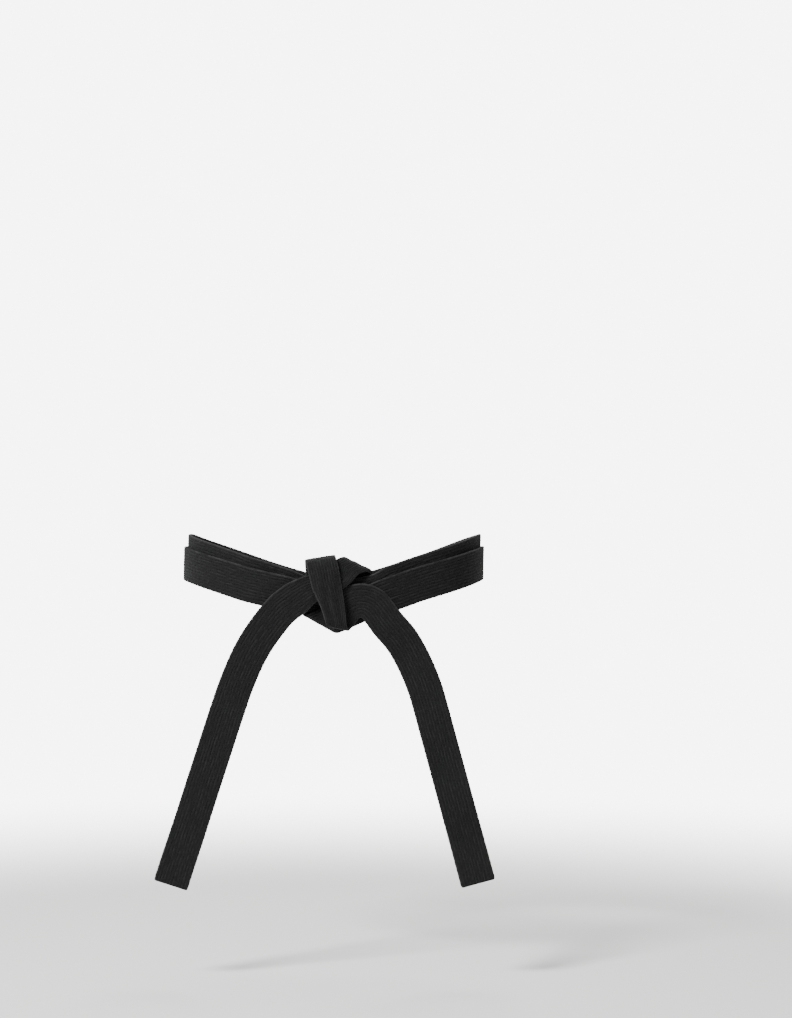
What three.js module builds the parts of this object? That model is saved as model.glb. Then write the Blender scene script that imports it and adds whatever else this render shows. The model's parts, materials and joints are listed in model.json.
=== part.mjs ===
// A black martial arts belt, wound twice round the waist and tied at the front in a flat knot.
//
// Millimetres, +Z up. The wearer faces -Y, so the knot is at the front, at the most negative Y.
// The origin is the middle of the waist, level with the middle of the belt at the knot.
//
// The belt is one sewn strap: a folded cotton sleeve round two canvas plies. It is built as stretches
// of that strap. Each stretch is swept along stations, and a station is a line drawn straight across
// the strap, so a skewed fold keeps its true lay.
import * as THREE from "three";

// ---------- driving dimensions ----------
const strapWidth = 40;
const strapThickness = 4;
const coverThickness = 0.6; // the cotton sleeve
const pieceClearance = 0.3; // between pieces that touch
const layerClearance = 0.5; // between two layers of strap
const plySideRoom = 0.8; // the plies are cut a little narrower than the sleeve
const seamOpening = 1.2; // where the sleeve's edges meet on the inner face
const seamInset = 6; // the seam lies this far in from one edge
const waistWidth = 358; // over the outer turn, side to side
const waistDepth = 242; // over the outer turn, without the knot
const waistRoundness = 2.4; // 2 is an ellipse, more is boxier
const sideSlope = 0.27; // how steeply the bands climb from the knot, and from the back, to the sides
const sideLift = 8; // and how much further they curve up by the sides
const backDrop = 4; // the back's middle hangs this much lower than the front's
const frontRounding = 12; // how softly the slopes meet, at the front
const backRounding = 22; // and at the back
const turnLap = 11; // the outer turn sits this much lower than the inner one, at the knot
const sideLap = 5; // and this much more at the sides
const innerTurnLift = 6; // the inner turn's middle above the origin, at the knot
const knotSink = 6; // the knot presses this far into the waist
const knotOffset = 5; // the knot is tied this far to the right of the middle
const upperTailLength = 110; // from the hinge at the knot down to the middle hinge
const lowerLeftTailLength = 166;
const lowerRightTailLength = 161;
const tailForwardLean = 5; // degrees, as the jacket's skirt flares
const leftTailHeadings = [244, 252.2]; // degrees, leaving the knot and hanging, from +X towards +Z
const rightTailHeadings = [-62, -74.8];
const endFoldLength = 12; // turned-in end of the sleeve

// ---------- values that follow ----------
const layerPitch = strapThickness + layerClearance;
const halfWidth = (waistWidth - strapThickness) / 2 - layerPitch; // middle of the inner turn
const halfDepth = (waistDepth - strapThickness) / 2 - layerPitch;
const plyThickness = (strapThickness - 2 * coverThickness - 3 * pieceClearance) / 2;

const degrees = THREE.MathUtils.degToRad;
const outward = new THREE.Vector3(0, -1, 0);

// ---------- stations ----------
// A station has its middle, the way the strap's outer face looks, its share of the full width, and
// for a fold the line across and the exact normal. steps is how many lines lead on to the next
// station, and mark names the place where a stretch starts.
const plainStation = { share: 1, across: null, normal: null, steps: 1, mark: "" };
function station(middle, face, options = {}) {
  return { ...plainStation, ...options, middle, face: face.clone() };
}

// A place in the knot: x and z in strap widths from the knot's middle, layer counted outward.
function knotPoint(x, z, layer) {
  const out = halfDepth - knotSink + layer * layerPitch;
  return new THREE.Vector3(knotOffset + x * strapWidth, -out, z * strapWidth);
}

// A strand lying flat in the knot. side is 1 with the strap's outer face to the front, -1 turned over.
function flat(x, z, layer, side, share = 1, steps = 2, mark = "") {
  return station(knotPoint(x, z, layer), outward.clone().multiplyScalar(side), { share, steps, mark });
}

// The same, with its face tipped up by some degrees.
function tipped(x, z, layer, tip, share) {
  const face = new THREE.Vector3(0, -Math.cos(degrees(tip)), Math.sin(degrees(tip)));
  return station(knotPoint(x, z, layer), face, { share, steps: 2 });
}

function headingVector(angle) {
  return new THREE.Vector3(Math.cos(degrees(angle)), 0, Math.sin(degrees(angle)));
}

const wideFoldTurns = 8; // lines round a half turn
const tightFoldTurns = 6;

// The strap turned over a straight fold line. The edge of the fold is centred on x, z; the strap comes
// in at headingIn, the fold line lies at foldAngle, and the strap passes from one layer to another.
function fold(x, z, headingIn, foldAngle, fromLayer, toLayer, side, share) {
  const along = headingVector(foldAngle);
  const beyond = headingVector(foldAngle + 90);
  const travel = headingVector(headingIn);
  if (travel.dot(beyond) < 0) beyond.negate();
  const radius = (Math.abs(toLayer - fromLayer) * layerPitch) / 2;
  const drift = travel.dot(along) / travel.dot(beyond);
  const across = along.clone().divideScalar(Math.abs(travel.dot(beyond)));
  if (across.dot(outward.clone().multiplyScalar(side).cross(travel)) < 0) across.negate();
  const turns = radius > 2 * layerPitch ? wideFoldTurns : tightFoldTurns;
  const edge = knotPoint(x, z, (fromLayer + toLayer) / 2);
  const forward = Math.sign(toLayer - fromLayer);
  return Array.from({ length: turns + 1 }, (_, i) => {
    const turn = (Math.PI * i) / turns;
    const middle = edge.clone();
    middle.addScaledVector(along, radius * (turn - Math.PI / 2) * drift);
    middle.addScaledVector(beyond, radius * (Math.sin(turn) - 1));
    middle.addScaledVector(outward, -forward * radius * Math.cos(turn));
    const normal = outward.clone().multiplyScalar(side * Math.cos(turn));
    normal.addScaledVector(beyond, -forward * side * Math.sin(turn));
    const face = outward.clone().multiplyScalar(2 * i > turns ? -side : side);
    return station(middle, face, {
      share,
      across,
      normal,
      steps: i === turns ? 2 : 1,
    });
  });
}

// The strap curving in its own plane round x, z, as a tail does where it leaves the knot.
function bend(x, z, radius, headingFrom, headingTo, fromLayer, toLayer, side, share) {
  const turns = 8;
  const hand = Math.sign(headingTo - headingFrom);
  return Array.from({ length: turns + 1 }, (_, i) => {
    const heading = degrees(THREE.MathUtils.lerp(headingFrom, headingTo, i / turns));
    const layer = THREE.MathUtils.lerp(fromLayer, toLayer, i / turns);
    const leftward = new THREE.Vector3(-Math.sin(heading), 0, Math.cos(heading));
    const middle = knotPoint(x, z, layer).addScaledVector(leftward, -hand * radius * strapWidth);
    const across = leftward.multiplyScalar(side);
    return station(middle, outward.clone().multiplyScalar(side), { share, across });
  });
}

// ---------- the two turns round the waist ----------
const smooth = (x, from, to) => THREE.MathUtils.smoothstep(x, from, to);
const halfTurn = 180;
const waistStep = 6; // degrees between stations
const frontReach = 2.4203 * strapWidth; // the waist's run ends this far out, and the knot's strands take over
const frontAngle = THREE.MathUtils.radToDeg(Math.asin((frontReach / halfWidth) ** (waistRoundness / 2)));

// How high a turn's middle is, at x from the middle and an angle round from the front.
function waistLevel(x, angle, layer) {
  const towardBack = smooth(angle, halfTurn / 2, halfTurn);
  const rounding = THREE.MathUtils.lerp(frontRounding, backRounding, towardBack);
  const climb = sideSlope * (Math.hypot(x, rounding) - rounding) - backDrop * towardBack;
  const aside = (x / halfWidth) ** 2;
  return innerTurnLift + climb + sideLift * aside - layer * (turnLap + sideLap * aside);
}

// A station at an angle round from the front, -180 to 180 with the right side positive. layer is 0
// for the inner turn and 1 for the outer, which lies over it and a little lower.
function onWaist(angle, layer, options = {}) {
  const t = degrees(angle);
  const wide = halfWidth + layer * layerPitch;
  const deep = halfDepth + layer * layerPitch;
  const power = 2 / waistRoundness;
  const x = wide * Math.sign(Math.sin(t)) * Math.pow(Math.abs(Math.sin(t)), power);
  const y = -deep * Math.sign(Math.cos(t)) * Math.pow(Math.abs(Math.cos(t)), power);
  const z = waistLevel(x, Math.abs(angle), layer);
  const faceX = (Math.sign(x) * Math.pow(Math.abs(x) / wide, waistRoundness - 1)) / wide;
  const faceY = (Math.sign(y) * Math.pow(Math.abs(y) / deep, waistRoundness - 1)) / deep;
  const face = new THREE.Vector3(faceX, faceY, 0).normalize();
  return station(new THREE.Vector3(x, y, z), face, options);
}

// Stations from the left of the front, round the back, to the right of the front. The first can be
// left out, where the knot's own route brings it.
function roundTheBack(layer, first = 0) {
  const steps = Math.round((2 * (halfTurn - frontAngle)) / waistStep);
  const step = (2 * (halfTurn - frontAngle)) / steps;
  return Array.from({ length: steps + 1 - first }, (_, i) => {
    const angle = -frontAngle - (i + first) * step;
    return onWaist(angle < -halfTurn ? angle + 2 * halfTurn : angle, layer);
  });
}

// ---------- the route ----------
// The left end lies innermost. From the left tail the strap goes through the knot, round the back as
// the inner turn, across the front, round the back again as the outer turn, and through the knot to
// the right tail.

// The left end's strand, from the tail back to the waist: in from the left, under the wrap, over the
// top, down behind everything and away to the left against the body.
function leftKnotRoute() {
  return [
    onWaist(-frontAngle, 0, { steps: 3, mark: "inner_turn" }),
    flat(-1.75, 0.55, -0.1, 1, 1, 1),
    flat(-1.35, 0.44, 0.55, 1, 0.94, 1),
    flat(-0.95, 0.33, 1, 1, 0.8, 1),
    flat(-0.5, 0.2, 1, 1, 0.76, 1),
    flat(0, 0.06, 1, 1, 0.76, 1),
    ...fold(0.64, -0.2, -19, 38, 1, 0, 1, 0.76),
    ...fold(0.6, 1.08, 100, -25.8, 0, 4, -1, 0.69),
    tipped(0.16, 0.71, 4.8, 6, 0.54),
    tipped(-0.3, 0.48, 4.95, 2, 0.64),
    flat(-0.69, 0.4, 5, 1, 0.8, 1),
    flat(-1.14, 0.13, 4.9, 1, 1, 2),
    flat(-1.57, -0.2, 4.7, 1, 1, 2),
    flat(-1.91, -0.6, 4.4, 1, 1, 2),
    flat(-2.24, -1.06, 4.1, 1, 1, 2),
    flat(-2.5, -1.51, 3.8, 1, 1, 1, "tail"),
  ];
}

// The crossing: from the inner turn on the right, over the left end, to the outer turn on the left.
function crossingRoute() {
  return [
    flat(1.6, 0.55, 0.65, 1, 1, 1, "crossing"),
    flat(1.15, 0.39, 2, 1, 0.84, 1),
    flat(0.6, 0.27, 2, 1, 0.84, 1),
    flat(0, 0.12, 2, 1, 0.8, 1),
    flat(-0.6, 0.12, 2, 1, 0.8, 1),
    flat(-1.15, 0.19, 2.05, 1, 0.93, 1),
    flat(-1.6, 0.28, 1.9, 1, 1, 3, "outer_turn"),
  ];
}

// The right end's strand: down over the crossing, under everything, up behind, over the top, down in
// front as the wrap, up behind it and out to the right.
function rightKnotRoute() {
  return [
    flat(1.75, 0.29, 1.8, 1, 1, 1, "knot_pass"),
    flat(1.4, 0.18, 2.8, 1, 0.98, 1),
    flat(1.1, 0.08, 3.15, 1, 0.92, 1),
    flat(0.8, -0.08, 3, 1, 0.88, 1),
    ...fold(-0.486, -0.6, 203, -29, 3, 0, 1, 0.85),
    flat(-0.53, 0.4, 0, -1, 0.85, 2),
    ...fold(-0.465, 1.255, 94, 9.2, 0, 6, -1, 0.885),
    flat(-0.27, 0.5, 6, 1, 0.86, 1),
    flat(-0.09, -0.12, 6, 1, 0.68, 1),
    ...fold(0.06, -0.72, -75, -11, 6, 4, 1, 0.56),
    ...bend(0.71, -0.5, 0.55, 50, -44, 4, 4.4, -1, 1),
    flat(1.47, -0.6, 4.4, -1, 1, 2),
    flat(1.86, -1.06, 4.1, -1, 1, 2),
    flat(2.13, -1.51, 3.8, -1, 1, 1, "tail"),
  ];
}

// ---------- tails ----------
// Below the knot a tail eases into its final heading and then hangs straight, leaning forward.
const tailSteps = 5; // stations in each half of a tail
const tailEase = 60; // length over which the heading settles

function tailRun(hinge, [headingStart, headingEnd], lowerLength) {
  const stations = [];
  const middle = hinge.middle.clone();
  const lean = Math.tan(degrees(tailForwardLean));
  let run = 0;
  [upperTailLength, lowerLength].forEach((length) => {
    const step = length / tailSteps;
    for (let i = 1; i <= tailSteps; i += 1) {
      const eased = Math.min(1, (run + step / 2) / tailEase);
      middle.addScaledVector(headingVector(THREE.MathUtils.lerp(headingStart, headingEnd, eased)), step);
      middle.addScaledVector(outward, step * lean);
      run += step;
      const mark = Math.abs(run - upperTailLength) < step / 2 ? "tail_end" : "";
      stations.push(station(middle.clone(), hinge.face, { mark }));
    }
  });
  return stations;
}

// ---------- strap lines ----------
// Turns key stations into lines: the middle, the vector to one edge at full width 1, and the face.
function lines(route) {
  const curve = new THREE.CatmullRomCurve3(
    route.map((key) => key.middle),
    false,
    "centripetal",
  );
  const spans = route.length - 1;
  const laid = [];
  route.forEach((key, i) => {
    const next = route[i + 1];
    const steps = next ? key.steps : 1;
    for (let j = 0; j < steps; j += 1) {
      const part = j / steps;
      laid.push({
        middle: curve.getPoint(Math.min(1, (i + part) / spans)),
        face: next ? key.face.clone().lerp(next.face, part).normalize() : key.face,
        share: next ? THREE.MathUtils.lerp(key.share, next.share, part) : key.share,
        across: part === 0 ? key.across : null,
        normal: part === 0 ? key.normal : null,
        mark: part === 0 ? key.mark : "",
      });
    }
  });
  laid.forEach((line, i) => {
    const before = laid[Math.max(0, i - 1)].middle;
    const after = laid[Math.min(laid.length - 1, i + 1)].middle;
    const travel = after.clone().sub(before).normalize();
    line.edge = line.across ? line.across.clone() : line.face.clone().cross(travel).normalize();
    line.normal = line.normal ?? travel.clone().cross(line.edge).normalize();
    line.edge.multiplyScalar(line.share);
  });
  return laid;
}

// ---------- sections across the strap, as [along the width, out from the middle] ----------
const half = strapWidth / 2;
const skin = strapThickness / 2;
const liningHalf = half - coverThickness;
const lining = skin - coverThickness;
const seamAt = -half + seamInset;

const coverSection = [
  [seamAt + seamOpening, -skin],
  [half, -skin],
  [half, skin],
  [-half, skin],
  [-half, -skin],
  [seamAt, -skin],
  [seamAt, -lining],
  [-liningHalf, -lining],
  [-liningHalf, lining],
  [liningHalf, lining],
  [liningHalf, -lining],
  [seamAt + seamOpening, -lining],
];

function plySection(layer) {
  const reach = liningHalf - plySideRoom;
  const low = -lining + pieceClearance + layer * (plyThickness + pieceClearance);
  return [
    [-reach, low],
    [reach, low],
    [reach, low + plyThickness],
    [-reach, low + plyThickness],
  ];
}

const endFoldSection = [
  [-liningHalf + pieceClearance, -lining + pieceClearance],
  [liningHalf - pieceClearance, -lining + pieceClearance],
  [liningHalf - pieceClearance, lining - pieceClearance],
  [-liningHalf + pieceClearance, lining - pieceClearance],
];

// ---------- swept solids ----------
function sweep(laid, section) {
  const points = [];
  laid.forEach((line) => {
    section.forEach(([width, out]) => {
      const point = line.middle.clone();
      point.addScaledVector(line.edge, width);
      point.addScaledVector(line.normal, out);
      points.push(point);
    });
  });
  const sides = section.length;
  const triangles = [];
  for (let i = 0; i < laid.length - 1; i += 1) {
    for (let j = 0; j < sides; j += 1) {
      const a = i * sides + j;
      const b = i * sides + ((j + 1) % sides);
      const rising = section[(j + 1) % sides][0] >= section[j][0];
      if (rising) triangles.push([a, b, b + sides], [a, b + sides, a + sides]);
      else triangles.push([a, b, a + sides], [b, b + sides, a + sides]);
    }
  }
  const outline = section.map(([width, out]) => new THREE.Vector2(width, out));
  const last = (laid.length - 1) * sides;
  THREE.ShapeUtils.triangulateShape(outline, []).forEach(([a, b, c]) => {
    triangles.push([a, c, b], [last + a, last + b, last + c]);
  });
  return closedGeometry(points, triangles);
}

// Faces point out: a solid that comes out inside out has every triangle turned round.
function closedGeometry(points, triangles) {
  const volume = triangles.reduce(
    (sum, [a, b, c]) => sum + points[a].dot(points[b].clone().cross(points[c])),
    0,
  );
  const turned = volume < 0 ? triangles.map(([a, b, c]) => [a, c, b]) : triangles;
  const geometry = new THREE.BufferGeometry().setFromPoints(points);
  geometry.setIndex(turned.flat());
  geometry.computeVertexNormals();
  return geometry;
}

// ---------- materials ----------
const blackCotton = new THREE.MeshStandardMaterial({ color: 0x1b1b1d, roughness: 0.88, metalness: 0 });
const canvas = new THREE.MeshStandardMaterial({ color: 0xd8cfb8, roughness: 0.95, metalness: 0 });

// ---------- stretches of strap ----------
const belt = new THREE.Group();

function addMesh(name, geometry, material) {
  const mesh = new THREE.Mesh(geometry, material);
  mesh.name = name;
  belt.add(mesh);
}

// Draws back one end of a run of lines, so that it stops short of the next stretch.
function shortened(laid, from, to) {
  const cut = laid.map((line) => ({ ...line, middle: line.middle.clone() }));
  const first = cut[0];
  const last = cut[cut.length - 1];
  first.middle.addScaledVector(cut[1].middle.clone().sub(first.middle).normalize(), from);
  last.middle.addScaledVector(cut[cut.length - 2].middle.clone().sub(last.middle).normalize(), to);
  return cut;
}

function addStretch(name, laid, { start = 0, end = 0, endFold = false } = {}) {
  addMesh(name + "_cover", sweep(shortened(laid, start, end), coverSection), blackCotton);
  const plyEnd = endFold ? endFoldLength + pieceClearance : end;
  const body = shortened(laid, start, plyEnd);
  addMesh(name + "_inner_ply", sweep(body, plySection(0)), canvas);
  addMesh(name + "_outer_ply", sweep(body, plySection(1)), canvas);
  if (!endFold) return;
  const tip = laid.slice(-2);
  const room = tip[1].middle.distanceTo(tip[0].middle);
  addMesh(name + "_turned_end", sweep(shortened(tip, room - endFoldLength, 0), endFoldSection), blackCotton);
}

const gap = pieceClearance / 2;

// The same stations the other way round, with the same number of lines in every span.
function reversed(route) {
  return route.map((key, i) => ({ ...key, steps: i ? route[i - 1].steps : 1 })).reverse();
}

// The strap is laid as two lists, one to each tail end, that share the inner turn. Each runs on a few
// stations past the place where they part, so that both have the same line there. The lists run
// opposite ways, so the left one's edges are turned round to keep the seam along one edge.
const leftKnot = leftKnotRoute();
const rightKnot = rightKnotRoute();
const innerTurn = roundTheBack(0, 1);
const toLeft = lines([
  ...reversed(innerTurn),
  ...leftKnot,
  ...tailRun(leftKnot[leftKnot.length - 1], leftTailHeadings, lowerLeftTailLength),
]);
toLeft.forEach((line) => line.edge.negate());
const toRight = lines([
  ...reversed(leftKnot.slice(0, 3)),
  ...innerTurn,
  ...crossingRoute(),
  ...roundTheBack(1),
  ...rightKnot,
  ...tailRun(rightKnot[rightKnot.length - 1], rightTailHeadings, lowerRightTailLength),
]);

// The lines of a strand between two marks, or to its end.
function between(laid, from, to) {
  const first = laid.findIndex((line) => line.mark === from);
  const last = to ? laid.findIndex((line) => line.mark === to) + 1 : laid.length;
  return laid.slice(first, last);
}

const bothEnds = { start: gap, end: gap };
function addKnotAndTail(name, laid, from) {
  addStretch(name + "_knot_pass", between(laid, from, "tail"), bothEnds);
  addStretch(name + "_tail", between(laid, "tail", "tail_end"), bothEnds);
  addStretch(name + "_tail_end", between(laid, "tail_end"), { start: gap, endFold: true });
}
addStretch("inner_turn", between(toRight, "inner_turn", "crossing"), bothEnds);
addStretch("front_crossing", between(toRight, "crossing", "outer_turn"), bothEnds);
addStretch("outer_turn", between(toRight, "outer_turn", "knot_pass"), bothEnds);
addKnotAndTail("left", toLeft, "inner_turn");
addKnotAndTail("right", toRight, "knot_pass");

export default belt;
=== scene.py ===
# %% [markdown]
# # A black martial arts belt, tied
#
# The belt is one long strap: canvas in a black cotton sleeve, quilted flat by rows of stitching.
# It is wound twice round the waist and tied in front, and its two ends hang free.
#
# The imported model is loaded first. Its solids say where the strap runs and which lengths of it
# move, and every piece made here is placed in that same frame, in metres.

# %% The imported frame
import json
import math

import bpy
import numpy as np
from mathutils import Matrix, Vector


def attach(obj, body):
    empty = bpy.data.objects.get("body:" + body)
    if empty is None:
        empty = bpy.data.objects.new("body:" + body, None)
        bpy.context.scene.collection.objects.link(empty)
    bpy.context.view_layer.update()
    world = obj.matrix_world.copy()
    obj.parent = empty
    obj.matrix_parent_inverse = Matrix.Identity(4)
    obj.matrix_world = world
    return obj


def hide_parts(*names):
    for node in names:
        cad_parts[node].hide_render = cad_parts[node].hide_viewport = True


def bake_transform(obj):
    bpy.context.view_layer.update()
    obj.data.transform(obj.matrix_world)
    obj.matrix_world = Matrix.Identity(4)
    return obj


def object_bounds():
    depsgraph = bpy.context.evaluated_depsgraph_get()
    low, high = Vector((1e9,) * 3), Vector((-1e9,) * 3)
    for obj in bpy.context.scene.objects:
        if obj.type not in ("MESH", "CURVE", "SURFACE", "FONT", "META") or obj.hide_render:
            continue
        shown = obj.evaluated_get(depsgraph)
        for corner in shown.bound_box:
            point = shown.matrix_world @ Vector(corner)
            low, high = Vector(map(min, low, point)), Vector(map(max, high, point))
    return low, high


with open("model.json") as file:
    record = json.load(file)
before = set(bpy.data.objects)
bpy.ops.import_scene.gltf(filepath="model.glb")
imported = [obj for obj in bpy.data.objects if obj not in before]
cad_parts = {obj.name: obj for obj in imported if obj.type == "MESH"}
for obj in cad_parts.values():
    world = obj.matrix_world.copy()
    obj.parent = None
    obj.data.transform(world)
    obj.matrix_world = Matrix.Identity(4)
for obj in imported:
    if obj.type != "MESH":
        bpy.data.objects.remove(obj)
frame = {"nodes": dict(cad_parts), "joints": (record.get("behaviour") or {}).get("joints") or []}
cad_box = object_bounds()

# %% [markdown]
# ## The camera
#
# A belt is looked at level, from straight in front, and a little from above its knot. A camera
# could stand close with a short lens, but then the tails would splay. A long lens from three metres
# keeps the strap the same width all the way down.

# %% The camera
camera_data = bpy.data.cameras.new("belt_camera")
camera_data.lens = 92.8
camera_data.sensor_width = 36.0
camera = bpy.data.objects.new("belt_camera", camera_data)
camera.location = (0.0736, -3.14, 0.1072)
camera.rotation_euler = (math.radians(90), 0, 0)
bpy.context.scene.collection.objects.link(camera)
bpy.context.scene.camera = camera
print("camera lens", camera_data.lens, "mm")

# %% [markdown]
# ## The lay of the strap
#
# A strap doesn't stretch sideways: wherever it goes, a straight line lies across it. So its lay is
# told as stations, and each station has its middle, the way its outer face looks, and how much of
# its width is left where the knot pinches it. A curve with a bevel would be quicker, but it twists
# as it likes, and a fold in a strap has to turn over on one straight line.

# %% Sizes of the strap and of the loop
strap_width = 0.040
strap_thickness = 0.004
layer_pitch = 0.0045
half_width = (0.358 - strap_thickness) / 2 - layer_pitch
half_depth = (0.242 - strap_thickness) / 2 - layer_pitch
waist_roundness = 2.4
front_angle = 30.0
waist_step = 6.0
print("inner turn:", round(2 * half_width, 4), "by", round(2 * half_depth, 4), "m")


# %% Stations
def station(middle, face, share=1.0, across=None, mark=""):
    return {"middle": np.array(middle, float), "face": np.array(face, float), "share": share,
            "across": across, "mark": mark}


def knot_point(x, z, layer):
    out = half_depth - 0.006 + layer * layer_pitch
    return np.array([0.005 + x * strap_width, -out, z * strap_width])


def flat(x, z, layer, side, share=1.0, mark=""):
    return station(knot_point(x, z, layer), (0, -side, 0), share, mark=mark)


def tipped(x, z, layer, tip, share, mark=""):
    tip = math.radians(tip)
    return station(knot_point(x, z, layer), (0, -math.cos(tip), math.sin(tip)), share, mark=mark)


def heading(angle):
    return np.array([math.cos(math.radians(angle)), 0, math.sin(math.radians(angle))])


# %% [markdown]
# A fold turns the strap over a straight line. On the real belt that line is a soft half round, as
# wide as the layers it goes round. Here it is a half cylinder whose straight lines run along the
# fold, which is the one surface that a flat strap can take there without stretching.

# %% A fold and a bend
outward = np.array([0.0, -1.0, 0.0])


def fold(x, z, heading_in, fold_angle, from_layer, to_layer, side, share):
    along = heading(fold_angle)
    beyond = heading(fold_angle + 90)
    travel = heading(heading_in)
    if travel @ beyond < 0:
        beyond = -beyond
    radius = abs(to_layer - from_layer) * layer_pitch / 2
    drift = (travel @ along) / (travel @ beyond)
    across = along / abs(travel @ beyond)
    if across @ np.cross(outward * side, travel) < 0:
        across = -across
    forward = math.copysign(1, to_layer - from_layer)
    edge = knot_point(x, z, (from_layer + to_layer) / 2)
    stations = []
    for turn in np.linspace(0, math.pi, 9):
        middle = edge + along * radius * (turn - math.pi / 2) * drift
        middle = middle + beyond * radius * (math.sin(turn) - 1)
        middle = middle - outward * forward * radius * math.cos(turn)
        face = outward * (side if turn < math.pi / 2 else -side)
        stations.append(station(middle, face, share, across))
    return stations


def bend(x, z, radius, heading_from, heading_to, from_layer, to_layer, side):
    hand = math.copysign(1, heading_to - heading_from)
    stations = []
    for part in np.linspace(0, 1, 9):
        angle = math.radians(heading_from + (heading_to - heading_from) * part)
        layer = from_layer + (to_layer - from_layer) * part
        leftward = np.array([-math.sin(angle), 0, math.cos(angle)])
        middle = knot_point(x, z, layer) - leftward * hand * radius * strap_width
        stations.append(station(middle, outward * side, 1.0, leftward * side))
    return stations


# %% [markdown]
# Round the waist each turn is a rounded oval that climbs from the knot to the hips and comes down
# again behind. The outer turn lies over the inner one and a little lower, so a strip of the inner
# turn shows along its top.

# %% The two turns round the waist
def eased(value, low, high):
    part = min(1.0, max(0.0, (value - low) / (high - low)))
    return part * part * (3 - 2 * part)


def waist_level(x, angle, layer):
    toward_back = eased(angle, 90, 180)
    rounding = 0.012 + (0.022 - 0.012) * toward_back
    climb = 0.27 * (math.hypot(x, rounding) - rounding) - 0.004 * toward_back
    aside = (x / half_width) ** 2
    return 0.006 + climb + 0.008 * aside - layer * (0.011 + 0.005 * aside)


def on_waist(angle, layer, mark=""):
    t = math.radians(angle)
    wide = half_width + layer * layer_pitch
    deep = half_depth + layer * layer_pitch
    power = 2 / waist_roundness
    x = wide * math.copysign(abs(math.sin(t)) ** power, math.sin(t))
    y = -deep * math.copysign(abs(math.cos(t)) ** power, math.cos(t))
    z = waist_level(x, abs(angle), layer)
    face = np.array([
        math.copysign((abs(x) / wide) ** (waist_roundness - 1), x) / wide,
        math.copysign((abs(y) / deep) ** (waist_roundness - 1), y) / deep,
        0,
    ])
    return station((x, y, z), face / np.linalg.norm(face), mark=mark)


def round_the_back(layer, first=0):
    count = round(2 * (180 - front_angle) / waist_step) + 1
    angles = [-front_angle - i * waist_step for i in range(first, count)]
    return [on_waist(a + 360 if a < -180 else a, layer) for a in angles]


# %% [markdown]
# The knot is written down in strap widths, as a person would sketch it on squared paper: how far
# across, how far up, and in which layer, counted outward from the body.

# %% The strands of the knot
left_knot = [
    on_waist(-front_angle, 0, mark="waist_left"),
    flat(-1.75, 0.55, -0.1, 1),
    flat(-1.35, 0.44, 0.55, 1, 0.94),
    flat(-0.95, 0.33, 1, 1, 0.8),
    flat(-0.5, 0.2, 1, 1, 0.76),
    flat(0, 0.06, 1, 1, 0.76, mark="behind_knot"),
    *fold(0.64, -0.2, -19, 38, 1, 0, 1, 0.76),
    *fold(0.6, 1.08, 100, -25.8, 0, 4, -1, 0.69),
    tipped(0.16, 0.71, 4.8, 6, 0.54),
    tipped(-0.3, 0.48, 4.95, 2, 0.64, mark="under_wrap"),
    flat(-0.69, 0.4, 5, 1, 0.8),
    flat(-1.14, 0.13, 4.9, 1),
    flat(-1.57, -0.2, 4.7, 1),
    flat(-1.91, -0.6, 4.4, 1),
    flat(-2.24, -1.06, 4.1, 1),
    flat(-2.5, -1.51, 3.8, 1, mark="hinge"),
]
crossing = [
    flat(1.6, 0.55, 0.65, 1),
    flat(1.15, 0.39, 2, 1, 0.84),
    flat(0.6, 0.27, 2, 1, 0.84),
    flat(0, 0.12, 2, 1, 0.8, mark="crossing"),
    flat(-0.6, 0.12, 2, 1, 0.8),
    flat(-1.15, 0.19, 2.05, 1, 0.93),
    flat(-1.6, 0.28, 1.9, 1),
]
right_knot = [
    flat(1.75, 0.29, 1.8, 1),
    flat(1.4, 0.18, 2.8, 1, 0.98),
    flat(1.1, 0.08, 3.15, 1, 0.92),
    flat(0.8, -0.08, 3, 1, 0.88, mark="into_knot"),
    *fold(-0.486, -0.6, 203, -29, 3, 0, 1, 0.85),
    flat(-0.53, 0.4, 0, -1, 0.85),
    *fold(-0.465, 1.255, 94, 9.2, 0, 6, -1, 0.885),
    flat(-0.27, 0.5, 6, 1, 0.86, mark="wrap"),
    flat(-0.09, -0.12, 6, 1, 0.68),
    *fold(0.06, -0.72, -75, -11, 6, 4, 1, 0.56),
    *bend(0.71, -0.5, 0.55, 50, -44, 4, 4.4, -1),
    flat(1.47, -0.6, 4.4, -1),
    flat(1.86, -1.06, 4.1, -1),
    flat(2.13, -1.51, 3.8, -1, mark="hinge"),
]
wrap_at = [s["mark"] for s in right_knot].index("wrap")
right_knot[wrap_at + 10]["mark"] = "under_wrap"
print("stations in the knot:", len(left_knot) + len(crossing) + len(right_knot))


# %% The tails
upper_tail = 0.110


def tail_run(hinge, heading_start, heading_end, lower_length):
    stations = []
    middle = hinge["middle"].copy()
    lean = math.tan(math.radians(5))
    run = 0.0
    for length in (upper_tail, lower_length):
        step = length / 5
        for i in range(1, 6):
            settled = min(1, (run + step / 2) / 0.060)
            middle = middle + heading(heading_start + (heading_end - heading_start) * settled) * step
            middle = middle + outward * step * lean
            run += step
            mark = {0.066: "cut", upper_tail: "curl"}.get(round(run, 4), "")
            stations.append(station(middle, hinge["face"], mark=mark))
    return stations


left_tail = tail_run(left_knot[-1], 244, 252.2, 0.166)
right_tail = tail_run(right_knot[-1], -62, -74.8, 0.161)


# %% [markdown]
# ## From stations to lines
#
# A curve is drawn through the middles, and lines are laid across it. The curve is the centripetal
# kind, because it doesn't swing wide where stations crowd together, as they do in a fold. The lines
# stand closer where the strap bends hard, so a fold stays round and a straight run stays light.

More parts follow.
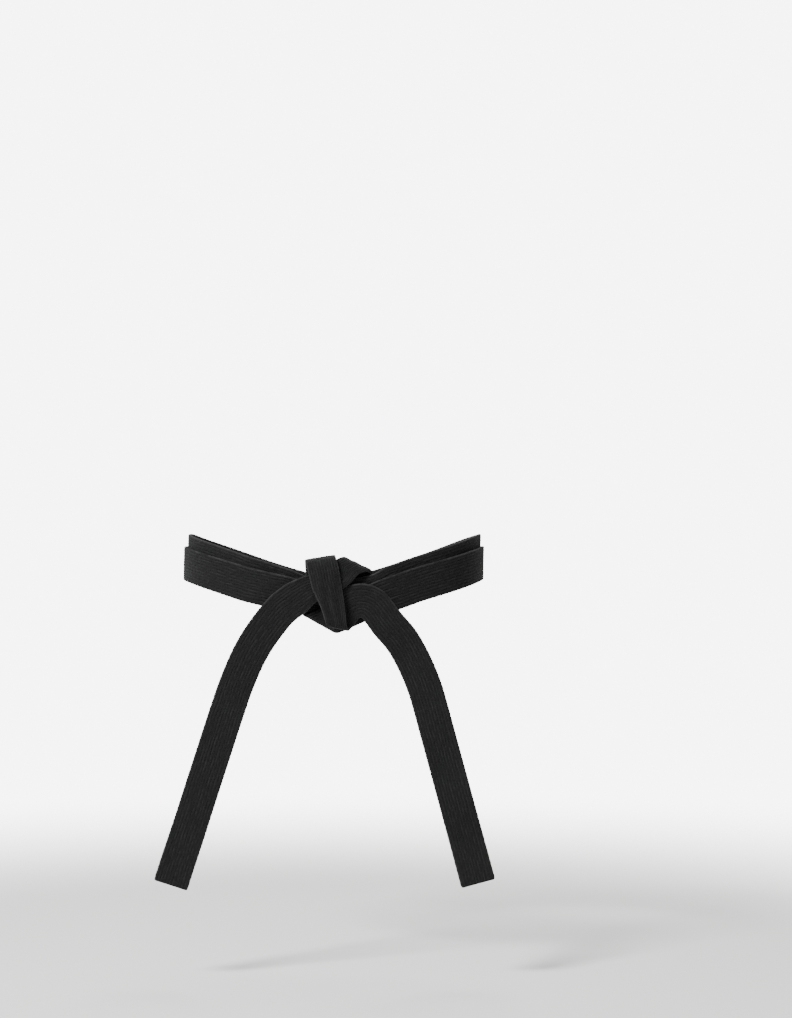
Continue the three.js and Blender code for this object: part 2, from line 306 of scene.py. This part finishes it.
# %% Lines across the strap
def curve_through(points, i, t):
    before = points[i - 1] if i > 0 else 2 * points[0] - points[1]
    after = points[i + 2] if i + 2 < len(points) else 2 * points[-1] - points[-2]
    a, b = points[i], points[i + 1]
    d0, d1, d2 = (math.sqrt(np.linalg.norm(q - p)) for p, q in ((before, a), (a, b), (b, after)))
    leave = (a - before) / d0 - (b - before) / (d0 + d1) + (b - a) / d1
    arrive = (b - a) / d1 - (after - a) / (d1 + d2) + (after - b) / d2
    leave, arrive = leave * d1, arrive * d1
    t = t[:, None]
    return (a + leave * t + (3 * (b - a) - 2 * leave - arrive) * t**2
            + (2 * (a - b) + leave + arrive) * t**3)


def lay(route, fine=0.0005):
    points = [s["middle"] for s in route]
    middles, spans = [], []
    for i in range(len(route) - 1):
        count = max(6, math.ceil(np.linalg.norm(points[i + 1] - points[i]) / fine))
        t = np.arange(count) / count
        middles.append(curve_through(points, i, t))
        spans.append(i + t)
    middles = np.vstack(middles + [points[-1][None]])
    place = np.concatenate(spans + [[len(route) - 1.0]])
    travel = np.gradient(middles, axis=0)
    travel /= np.linalg.norm(travel, axis=1)[:, None]
    edges = []
    for i, s in enumerate(route):
        way = travel[np.searchsorted(place, i)]
        edge = np.cross(s["face"], way) if s["across"] is None else s["across"]
        if s["across"] is None:
            edge = edge / np.linalg.norm(edge)
        edges.append(edge * s["share"])
    keys = np.arange(len(route))
    edge = np.stack([np.interp(place, keys, np.array(edges)[:, k]) for k in range(3)], axis=1)
    share = np.interp(place, keys, [s["share"] for s in route])
    marks = {s["mark"]: int(np.searchsorted(place, i)) for i, s in enumerate(route) if s["mark"]}
    return {"middle": middles, "edge": edge, "share": share}, marks


# %% [markdown]
# The whole strap is one list of lines, from its left end to its right end, as it was sewn. The left
# end's stations were written from the waist outward, so those lines are turned round.

# %% One strap from end to end
to_left, left_marks = lay([*round_the_back(0, 1)[::-1], *left_knot, *left_tail])
to_right, right_marks = lay([
    *left_knot[2:0:-1], left_knot[0], *round_the_back(0, 1), *crossing, *round_the_back(1),
    *right_knot, *right_tail,
])
part_at = left_marks["waist_left"]
join_at = right_marks["waist_left"]
turned = slice(len(to_left["middle"]) - 1, part_at, -1)
strap = {
    "middle": np.vstack([to_left["middle"][turned], to_right["middle"][join_at:]]),
    "edge": np.vstack([-to_left["edge"][turned], to_right["edge"][join_at:]]),
    "share": np.concatenate([to_left["share"][turned], to_right["share"][join_at:]]),
}
steps = np.linalg.norm(np.diff(strap["middle"], axis=0), axis=1)
strap["run"] = np.concatenate([[0], np.cumsum(steps)])
strap_length = float(strap["run"][-1])
left_count = len(to_left["middle"]) - 1 - part_at
cut_at = {}
for name, index in left_marks.items():
    cut_at["left_" + name] = float(strap["run"][min(left_count, len(to_left["middle"]) - 1 - index)])
for name, index in right_marks.items():
    cut_at["right_" + name] = float(strap["run"][max(0, left_count + index - join_at)])
print("strap length", round(strap_length, 3), "m;", {k: round(v, 3) for k, v in cut_at.items()})


# %% Softened edges and even lines
def softened(values, reach):
    kernel = np.exp(-0.5 * (np.arange(-3 * reach, 3 * reach + 1) / reach) ** 2)
    kernel /= kernel.sum()
    padded = np.pad(values, ((3 * reach, 3 * reach), (0, 0)), mode="edge")
    return np.stack([np.convolve(padded[:, k], kernel, "valid") for k in range(values.shape[1])], 1)


strap["edge"] = softened(strap["edge"], 5)
travel = np.gradient(strap["middle"], strap["run"], axis=0)
travel /= np.linalg.norm(travel, axis=1)[:, None]
turning = np.linalg.norm(np.gradient(travel, strap["run"], axis=0), axis=1)
spacing = np.clip(0.3 / np.maximum(turning, 1), 0.0006, 0.0018)
density = np.concatenate([[0], np.cumsum(steps / spacing[1:])])
line_count = int(density[-1])
run = np.interp(np.linspace(0, density[-1], line_count), density, strap["run"])
ends = np.array([0.0, 0.0002, 0.0005, 0.001, 0.0016, 0.0024])
run = np.unique(np.concatenate([run, ends, strap_length - ends, list(cut_at.values())]))
run = run[np.concatenate([[True], np.diff(run) > 1e-5])]


def along(values):
    return np.stack([np.interp(run, strap["run"], values[:, k]) for k in range(values.shape[1])], 1)


middle, edge, way = along(strap["middle"]), along(strap["edge"]), along(travel)
share = np.interp(run, strap["run"], strap["share"])
normal = np.cross(way, edge)
normal /= np.linalg.norm(normal, axis=1)[:, None]
print("lines across the strap:", len(run))

# %% [markdown]
# ## The sewn section
#
# Rows of stitching pull the sleeve down into the canvas and leave a ridge between each two rows.
# That could be a bump in the material, but the ridges catch the light along the whole belt and its
# outline shows them, so they are in the mesh: a groove with two shoulders at every row, and a crown
# between.

# %% The section of the strap
half = strap_width / 2
skin = strap_thickness / 2
row_pitch = 0.0035
rows = (np.arange(11) - 5) * row_pitch
groove_shoulder = 0.0006
face_places = np.sort(np.concatenate([
    rows, rows - groove_shoulder, rows + groove_shoulder, (rows[:-1] + rows[1:]) / 2,
    [-0.0197, -0.0189, 0.0189, 0.0197],
]))
ring_place = np.concatenate([face_places, [half], face_places[::-1], [-half]])
ring_side = np.concatenate([np.ones(len(face_places)), [0], -np.ones(len(face_places)), [0]])
ring_height = np.interp(np.abs(ring_place), [0, 0.0182, 0.0189, 0.0197, half], [skin, skin, 0.0018, 0.0012, 0])
row_distance = np.abs(ring_place[None] - rows[:, None]).min(axis=0)
groove = np.where(row_distance < 0.0001, 1.0, np.where(row_distance < 0.0007, 0.3, 0.0))
print("points round the section:", len(ring_place))


# %% [markdown]
# Cloth is never quite even. Small swells between the stitches, a slightly wavy edge, a long lazy
# wave in each tail and pleats where the knot pinches the strap are all sums of a few fixed waves,
# so the belt comes out the same every time.

# %% Waves in the cloth
chance = np.random.default_rng(11)


def ripple(place_along, place_across, length, across_length, waves=5):
    total = np.zeros(np.broadcast(place_along, place_across).shape)
    for _ in range(waves):
        rate = 2 * math.pi * chance.uniform(0.6, 1.6) / length
        lean = 2 * math.pi * chance.uniform(-1, 1) / across_length
        total = total + np.sin(rate * place_along + lean * place_across + chance.uniform(0, 6.28))
    return total / math.sqrt(waves)


along_run = run[:, None]
across_run = ring_place[None]
pinch = np.clip(1 - share, 0, 0.45)[:, None]
swell = ripple(along_run, across_run, 0.0058, 0.006, 7)
stitch_pull = 0.75 + 0.25 * np.sin(2 * math.pi * along_run / 0.0042 + across_run * 900)
depth = ring_height[None] - groove[None] * 0.00034 * stitch_pull + (1 - groove[None]) * 0.00014 * swell
depth = np.where(ring_side[None] == 0, 0, np.maximum(depth, 0.0003))

# %% The seam of the sleeve, and the sewn ends
lap = np.clip((-0.0134 - ring_place) / 0.0003, 0, 1) * (ring_side < 0) * (ring_place > -0.0193)
depth = depth + 0.0003 * lap[None]
to_end = np.minimum(run, strap_length - run)[:, None]
for hem_row in (0.0035, 0.0115):
    depth = depth - np.abs(ring_side[None]) * 0.0004 * np.exp(-(((to_end - hem_row) / 0.0007) ** 2))
rounding = 0.0016
depth = depth * np.sqrt(np.clip(1 - (np.clip(rounding - to_end, 0, None) / rounding) ** 2, 0.02, 1))
corner = 0.0030
corner_cut = corner - np.sqrt(np.clip(corner**2 - np.clip(corner - to_end, 0, None) ** 2, 0, None))
width_left = (half - 0.8 * corner_cut) / half

# %% Where the cloth gives
edge_zone = np.clip((np.abs(ring_place) - 0.014) / 0.006, 0, 1)[None]
scallop = 0.00014 * edge_zone * np.sign(across_run) * ripple(along_run, across_run, 0.0075, 0.6)
tail_zone = np.clip((cut_at["left_hinge"] - along_run + 0.03) / 0.08, 0, 1)
tail_zone = tail_zone + np.clip((along_run - cut_at["right_hinge"] + 0.03) / 0.08, 0, 1)
lazy = 0.0016 * tail_zone * ripple(along_run, across_run, 0.11, 0.30, 4)
curl = 0.0010 * tail_zone * (across_run / half) ** 2 * np.sin(along_run * 2 * math.pi / 0.16 + 1.0)
calm = np.clip(1 - 0.004 * np.interp(run, strap["run"], softened(turning[:, None], 12)[:, 0])[:, None] * 2, 0.1, 1)
pleats = calm * pinch * 0.0022 * np.cos(
    2 * math.pi * across_run / 0.0165 + 1.4 * np.sin(along_run * 2 * math.pi / 0.07) + along_run * 25
)
in_wrap = np.exp(-(((along_run - cut_at["right_wrap"]) / 0.022) ** 2))
crown = in_wrap * (0.0016 - 0.0030 * (across_run / half) ** 2)
shift = lazy + curl + pleats + crown
print("deepest pleat", round(float(np.abs(pleats).max()) * 1000, 2), "mm")

# %% Every point of the strap
wide = (ring_place[None] + scallop) * width_left
points = (middle[:, None] + edge[:, None] * wide[..., None]
          + normal[:, None] * (ring_side[None] * depth + shift)[..., None])


def world_wave(place, length, seed):
    chooser = np.random.default_rng(seed)
    total = np.zeros(place.shape[:2])
    for _ in range(5):
        direction = chooser.normal(size=3)
        direction *= 2 * math.pi / (length * np.linalg.norm(direction))
        total += np.sin(place @ direction + chooser.uniform(0, 6.28))
    return total / math.sqrt(5)


loop_zone = np.clip((run - cut_at["left_waist_left"]) / 0.05, 0, 1)
loop_zone = loop_zone * np.clip((cut_at["right_into_knot"] - 0.05 - run) / 0.05, 0, 1)
away = 0.0011 * loop_zone[:, None] * world_wave(points, 0.09, 5)
points = points + normal[:, None] * away[..., None]
print("points:", points.shape[0] * points.shape[1])


# %% [markdown]
# ## The pieces
#
# The lines are cut into eight lengths where a cut can't be seen: behind the knot, under the wrap,
# and in each tail between its two bending places, where two lengths meet line to line. Each length
# is a closed mesh, and each tail is made of two lengths. The two tails need their own lengths
# because a blend can cross only one joint.

# %% A length of strap as a closed mesh
def strap_piece(name, start, stop):
    first, last = (int(np.argmin(np.abs(run - place))) for place in (start, stop))
    rings = points[first:last + 1]
    lines, sides = rings.shape[:2]
    corner_index = np.arange(lines * sides).reshape(lines, sides)
    near, far = corner_index[:-1], corner_index[1:]
    quads = np.stack([near, np.roll(near, -1, 1), np.roll(far, -1, 1), far], -1).reshape(-1, 4)
    faces = quads.tolist()
    count = len(face_places)
    for row, flip in ((corner_index[0], True), (corner_index[-1], False)):
        front, back = row[:count], row[count + 1:2 * count + 1][::-1]
        cap = [[row[-1], back[0], front[0]], [front[-1], back[-1], row[count]]]
        cap += [[front[i], back[i], back[i + 1], front[i + 1]] for i in range(count - 1)]
        faces += [[int(v) for v in (f[::-1] if flip else f)] for f in cap]
    mesh = bpy.data.meshes.new(name)
    mesh.from_pydata(rings.reshape(-1, 3).tolist(), [], faces)
    uv = mesh.uv_layers.new(name="strap")
    corner_of = np.empty(len(mesh.loops), np.int32)
    mesh.loops.foreach_get("vertex_index", corner_of)
    place = np.stack([
        np.repeat(run[first:last + 1], sides), np.tile(ring_place + 0.1 * (ring_side < 0), lines)
    ], 1)
    uv.data.foreach_set("uv", place[corner_of].astype(np.float32).ravel())
    mesh.shade_smooth()
    mesh.validate()
    piece = bpy.data.objects.new(name, mesh)
    bpy.context.scene.collection.objects.link(piece)
    length = float(run[last] - run[first])
    print(name, "is", round(length, 3), "m long with", len(mesh.vertices), "points")
    return piece, length


# %% The eight lengths
order = [
    ("left_lower_tail", 0.0, cut_at["left_cut"]),
    ("left_upper_tail", cut_at["left_cut"], cut_at["left_under_wrap"]),
    ("left_knot_strand", cut_at["left_under_wrap"], cut_at["left_behind_knot"]),
    ("inner_turn", cut_at["left_behind_knot"], cut_at["right_crossing"]),
    ("outer_turn", cut_at["right_crossing"], cut_at["right_into_knot"]),
    ("right_knot_strand", cut_at["right_into_knot"], cut_at["right_under_wrap"]),
    ("right_upper_tail", cut_at["right_under_wrap"], cut_at["right_cut"]),
    ("right_lower_tail", cut_at["right_cut"], strap_length),
]
pieces, lengths = {}, {}
for name, start, stop in order:
    pieces[name], lengths[name] = strap_piece("strap_" + name, start, stop)


# %% [markdown]
# ## The cotton
#
# The sleeve is a plain black cotton twill, dull, a little dusty, and lighter where it rubs along its
# edges. The ridges between the rows of stitching are lighter too, partly from wear and partly as a
# painted highlight, and the grooves of the rows are darkened with painted shade. Everything is drawn
# in the strap's own map, where one way is metres along the strap and the other is metres across it,
# so the weave and the stitches follow every fold. Short sums are written as plain sums, with one
# small class.

# %% Sums on sockets
class Signal:
    """An output of a node that can stand in a sum."""

    def __init__(self, finish, socket):
        self.finish, self.socket = finish, socket

    def __add__(self, other):
        return self.finish.math("ADD", self, other)

    __radd__ = __add__

    def __sub__(self, other):
        return self.finish.math("SUBTRACT", self, other)

    def __rsub__(self, other):
        return self.finish.math("SUBTRACT", other, self)

    def __mul__(self, other):
        return self.finish.math("MULTIPLY", self, other)

    __rmul__ = __mul__

    def __truediv__(self, other):
        return self.finish.math("DIVIDE", self, other)


class Finish:
    """One material and its nodes."""

    def __init__(self, name):
        self.material = bpy.data.materials.new(name)
        self.material.use_nodes = True
        self.tree = self.material.node_tree
        self.tree.nodes.clear()

    def node(self, kind, settings=None, **sockets):
        made = self.tree.nodes.new(kind)
        for name, value in (settings or {}).items():
            setattr(made, name, value)
        for name, value in sockets.items():
            slot = made.inputs[int(name[1:])] if name[0] == "i" and name[1:].isdigit() else made.inputs[name.replace("_", " ")]
            if isinstance(value, Signal):
                self.tree.links.new(value.socket, slot)
            else:
                slot.default_value = value
        return made

    def out(self, made, name=0):
        return Signal(self, made.outputs[name])

    def math(self, operation, *values, clamp=False):
        sockets = {"i%d" % i: v for i, v in enumerate(values)}
        return self.out(self.node("ShaderNodeMath", {"operation": operation, "use_clamp": clamp}, **sockets))

    def ease(self, value, low, high):
        made = self.node("ShaderNodeMapRange", {"interpolation_type": "SMOOTHSTEP"},
                         Value=value, From_Min=low, From_Max=high)
        return self.out(made)

    def noise(self, place, scale, detail=2.0):
        made = self.node("ShaderNodeTexNoise", {"noise_dimensions": "3D"}, Vector=place, Scale=scale, Detail=detail)
        return self.out(made, "Fac")

    def mix(self, factor, one, two):
        made = self.node("ShaderNodeMix", {"data_type": "RGBA"}, i0=factor, i6=one, i7=two)
        return Signal(self, made.outputs[2])


# %% [markdown]
# The rows are found by how far a point lies from the nearest one. The stitches are dashes along
# each row, each row shifted against the next, and the weave is two crossing sets of fine threads.

# %% Rows, stitches and weave
cotton = Finish("black_cotton")
strap_map = cotton.node("ShaderNodeUVMap", {"uv_map": "strap"})
place = cotton.out(strap_map)
split = cotton.node("ShaderNodeSeparateXYZ", Vector=place)
down, over = cotton.out(split, 0), cotton.out(split, 1)
across_strap = cotton.math("WRAP", over, 0.05, -0.05)


def stretched_noise(along_scale, across_scale, detail=2.0):
    moved = cotton.node("ShaderNodeVectorMath", {"operation": "MULTIPLY"}, i0=place, i1=(along_scale, across_scale, 1))
    return cotton.noise(cotton.out(moved), 1.0, detail)


drift = (stretched_noise(38, 70, 3.0) - 0.5) * 0.0030
drifted = across_strap + drift
row_number = cotton.math("ROUND", drifted / row_pitch)
off_row = cotton.math("ABSOLUTE", drifted - row_number * row_pitch)
in_rows = 1 - cotton.ease(cotton.math("ABSOLUTE", across_strap), 0.0180, 0.0186)
pull = cotton.ease(stretched_noise(150, 300, 3.0), 0.34, 0.62)
in_groove = (1 - cotton.ease(off_row, 0.0002, 0.0010)) * in_rows * (0.12 + pull * 0.88)
dash_place = cotton.math("FRACT", down / 0.0034 + row_number * 0.37)
dash = cotton.ease(cotton.math("ABSOLUTE", dash_place - 0.5), 0.10, 0.32)
stitch = (1 - cotton.ease(off_row, 0.0002, 0.0004)) * (1 - dash) * in_rows
twill_one = cotton.math("SINE", (down + across_strap) * (2 * math.pi / 0.0011))
twill_two = cotton.math("SINE", (down - across_strap) * (2 * math.pi / 0.0007))
weave = twill_one * 0.6 + twill_two * 0.4

# %% Wear, dust, painted groove shade, partly painted ridge highlight, and colour
blotch = stretched_noise(30, 45, 3.0)
streak = stretched_noise(60, 620, 4.0)
pucker = stretched_noise(210, 330, 2.0)
edge_rub = cotton.ease(cotton.math("ABSOLUTE", across_strap), 0.0168, 0.0199) * cotton.ease(blotch + pucker * 0.5, 0.45, 0.95)
# Lighter ridges between the rows: partly wear, partly a painted highlight where the crests would catch the light.
ridge_wear_and_painted_highlight = cotton.ease(off_row, 0.0006, 0.0016) * cotton.ease(pucker * 0.6 + streak * 0.6, 0.50, 0.76)
edge_wear_and_ridge_highlight = cotton.math("ADD", edge_rub * 0.60, ridge_wear_and_painted_highlight * 0.42, clamp=True)
body_colour = cotton.mix(blotch, (0.0022, 0.0022, 0.0024, 1), (0.0066, 0.0065, 0.0067, 1))
# Darker grooves along the rows: painted shade, standing in for the shade that falls into each groove.
painted_groove_shade_colour = cotton.mix(in_groove * 0.8, body_colour, (0.0010, 0.0010, 0.0012, 1))
# The worn edges and the partly painted ridge highlight are mixed in over the painted groove shade.
worn_shaded_and_highlit_colour = cotton.mix(edge_wear_and_ridge_highlight, painted_groove_shade_colour, (0.0280, 0.0276, 0.0280, 1))
colour = cotton.mix(stitch * 0.25, worn_shaded_and_highlit_colour, (0.013, 0.013, 0.014, 1))
dullness = cotton.math("ADD", 0.82 + blotch * 0.10, pucker * 0.08 - stitch * 0.10, clamp=True)

# %% Relief and shader
relief = weave * 0.03 + stitch * 0.10 + pucker * 0.55 + streak * 0.75 - in_groove * 0.45
bump = cotton.node("ShaderNodeBump", Strength=1.0, Distance=0.0016, Height=relief)
shader = cotton.node(
    "ShaderNodeBsdfPrincipled", None, Base_Color=colour, Roughness=dullness, Normal=cotton.out(bump),
)
shader.inputs["Sheen Weight"].default_value = 0.06
shader.inputs["Sheen Roughness"].default_value = 0.45
shader.inputs["Sheen Tint"].default_value = (0.75, 0.76, 0.80, 1)
shader.inputs["Specular IOR Level"].default_value = 0.24
cotton.node("ShaderNodeOutputMaterial", Surface=cotton.out(shader))
for piece in pieces.values():
    piece.data.materials.append(cotton.material)
print("cotton nodes:", len(cotton.tree.nodes))

# %% [markdown]
# ## Who moves with what
#
# The turns and the knot stay with the waist. Each tail bends at the knot and again half way down;
# its two lengths are only baked in place here and follow nothing.

# %% Rides, and the tail lengths baked in place
joints = {j["name"]: j for j in frame["joints"]}


for name in ("left_knot_strand", "inner_turn", "outer_turn", "right_knot_strand"):
    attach(pieces[name], "waist_loop")
for side, sign in (("left", -1), ("right", 1)):
    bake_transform(pieces[side + "_upper_tail"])
    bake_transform(pieces[side + "_lower_tail"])
print("joints:", sorted(joints))

# %% What each length stands for
def layers_of(*stretches):
    return [n for s in stretches for n in frame["nodes"]
            if n in (s + "_cover", s + "_inner_ply", s + "_outer_ply", s + "_turned_end")]


stands_for = {
    "left_lower_tail": ["left_tail_end"],
    "left_upper_tail": ["left_tail"],
    "left_knot_strand": ["left_knot_pass"],
    "inner_turn": ["inner_turn", "front_crossing"],
    "outer_turn": ["outer_turn"],
    "right_knot_strand": ["right_knot_pass"],
    "right_upper_tail": ["right_tail"],
    "right_lower_tail": ["right_tail_end"],
}
for name, piece in pieces.items():
    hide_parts(*layers_of(*stands_for[name]))

# %% [markdown]
# ## Floor and light
#
# A pale floor lies well below the tails. It fades into the white round it, so no line shows behind
# the belt. Black cloth needs broad light: one large soft light high on the left, a weaker one on
# the right, and one above and behind to draw a thin rim along the edges.

# %% The floor
floor_mesh = bpy.data.meshes.new("floor")
floor_z = float(cad_box[0][2]) - 0.10
ring_angles = np.linspace(0, 2 * math.pi, 97)[:-1]
floor_rings = [0.0, 0.4, 0.8, 1.2, 1.6, 2.0]
floor_points = [(0, 0, floor_z)] + [
    (r * math.cos(a), r * math.sin(a), floor_z) for r in floor_rings[1:] for a in ring_angles
]
floor_faces = [(0, 1 + i, 1 + (i + 1) % 96) for i in range(96)]
for k in range(len(floor_rings) - 2):
    low, high = 1 + 96 * k, 1 + 96 * (k + 1)
    floor_faces += [(low + i, high + i, high + (i + 1) % 96, low + (i + 1) % 96) for i in range(96)]
floor_mesh.from_pydata(floor_points, [], floor_faces)
floor = bpy.data.objects.new("floor", floor_mesh)
bpy.context.scene.collection.objects.link(floor)

pale = Finish("pale_floor")
where = pale.node("ShaderNodeTexCoord")
from_middle = pale.node("ShaderNodeVectorMath", {"operation": "LENGTH"}, i0=pale.out(where, "Object"))
fade = pale.ease(pale.out(from_middle, "Value"), 0.7, 1.9)
matte = pale.node("ShaderNodeBsdfPrincipled", None, Base_Color=(0.86, 0.86, 0.855, 1), Roughness=0.9)
clear = pale.node("ShaderNodeBsdfTransparent")
blend_out = pale.node("ShaderNodeMixShader", None, i0=fade, i1=pale.out(matte), i2=pale.out(clear))
pale.node("ShaderNodeOutputMaterial", Surface=pale.out(blend_out))
floor_mesh.materials.append(pale.material)
print("floor at", round(floor_z, 3), "m")


# %% The lights
def soft_light(name, place, size, power, aim=(0, -0.05, -0.08)):
    data = bpy.data.lights.new(name, "AREA")
    data.shape = "RECTANGLE"
    data.size, data.size_y = size
    data.energy = power
    light = bpy.data.objects.new(name, data)
    light.location = place
    light.rotation_euler = (Vector(aim) - Vector(place)).to_track_quat("-Z", "Y").to_euler()
    bpy.context.scene.collection.objects.link(light)
    return light


soft_light("key_light", (-1.3, -1.4, 1.9), (0.7, 0.7), 125)
soft_light("fill_light", (1.9, -1.8, 0.5), (1.4, 1.4), 14)
soft_light("rim_light", (0.3, 1.6, 1.9), (1.6, 0.7), 45)

# %% [markdown]
# The room round the belt is white to look at. As a light it is held back, so that the lamps and
# not the walls shape the cloth.

# %% The white room
world = bpy.data.worlds.new("white_room")
bpy.context.scene.world = world
world.use_nodes = True
room = world.node_tree
room.nodes.clear()
seen = room.nodes.new("ShaderNodeBackground")
seen.inputs["Strength"].default_value = 7.0
given = room.nodes.new("ShaderNodeBackground")
given.inputs["Strength"].default_value = 0.42
for background in (seen, given):
    background.inputs["Color"].default_value = (1, 1, 1, 1)
ray = room.nodes.new("ShaderNodeLightPath")
choice = room.nodes.new("ShaderNodeMixShader")
room.links.new(ray.outputs["Is Camera Ray"], choice.inputs[0])
room.links.new(given.outputs[0], choice.inputs[1])
room.links.new(seen.outputs[0], choice.inputs[2])
room.links.new(choice.outputs[0], room.nodes.new("ShaderNodeOutputWorld").inputs[0])
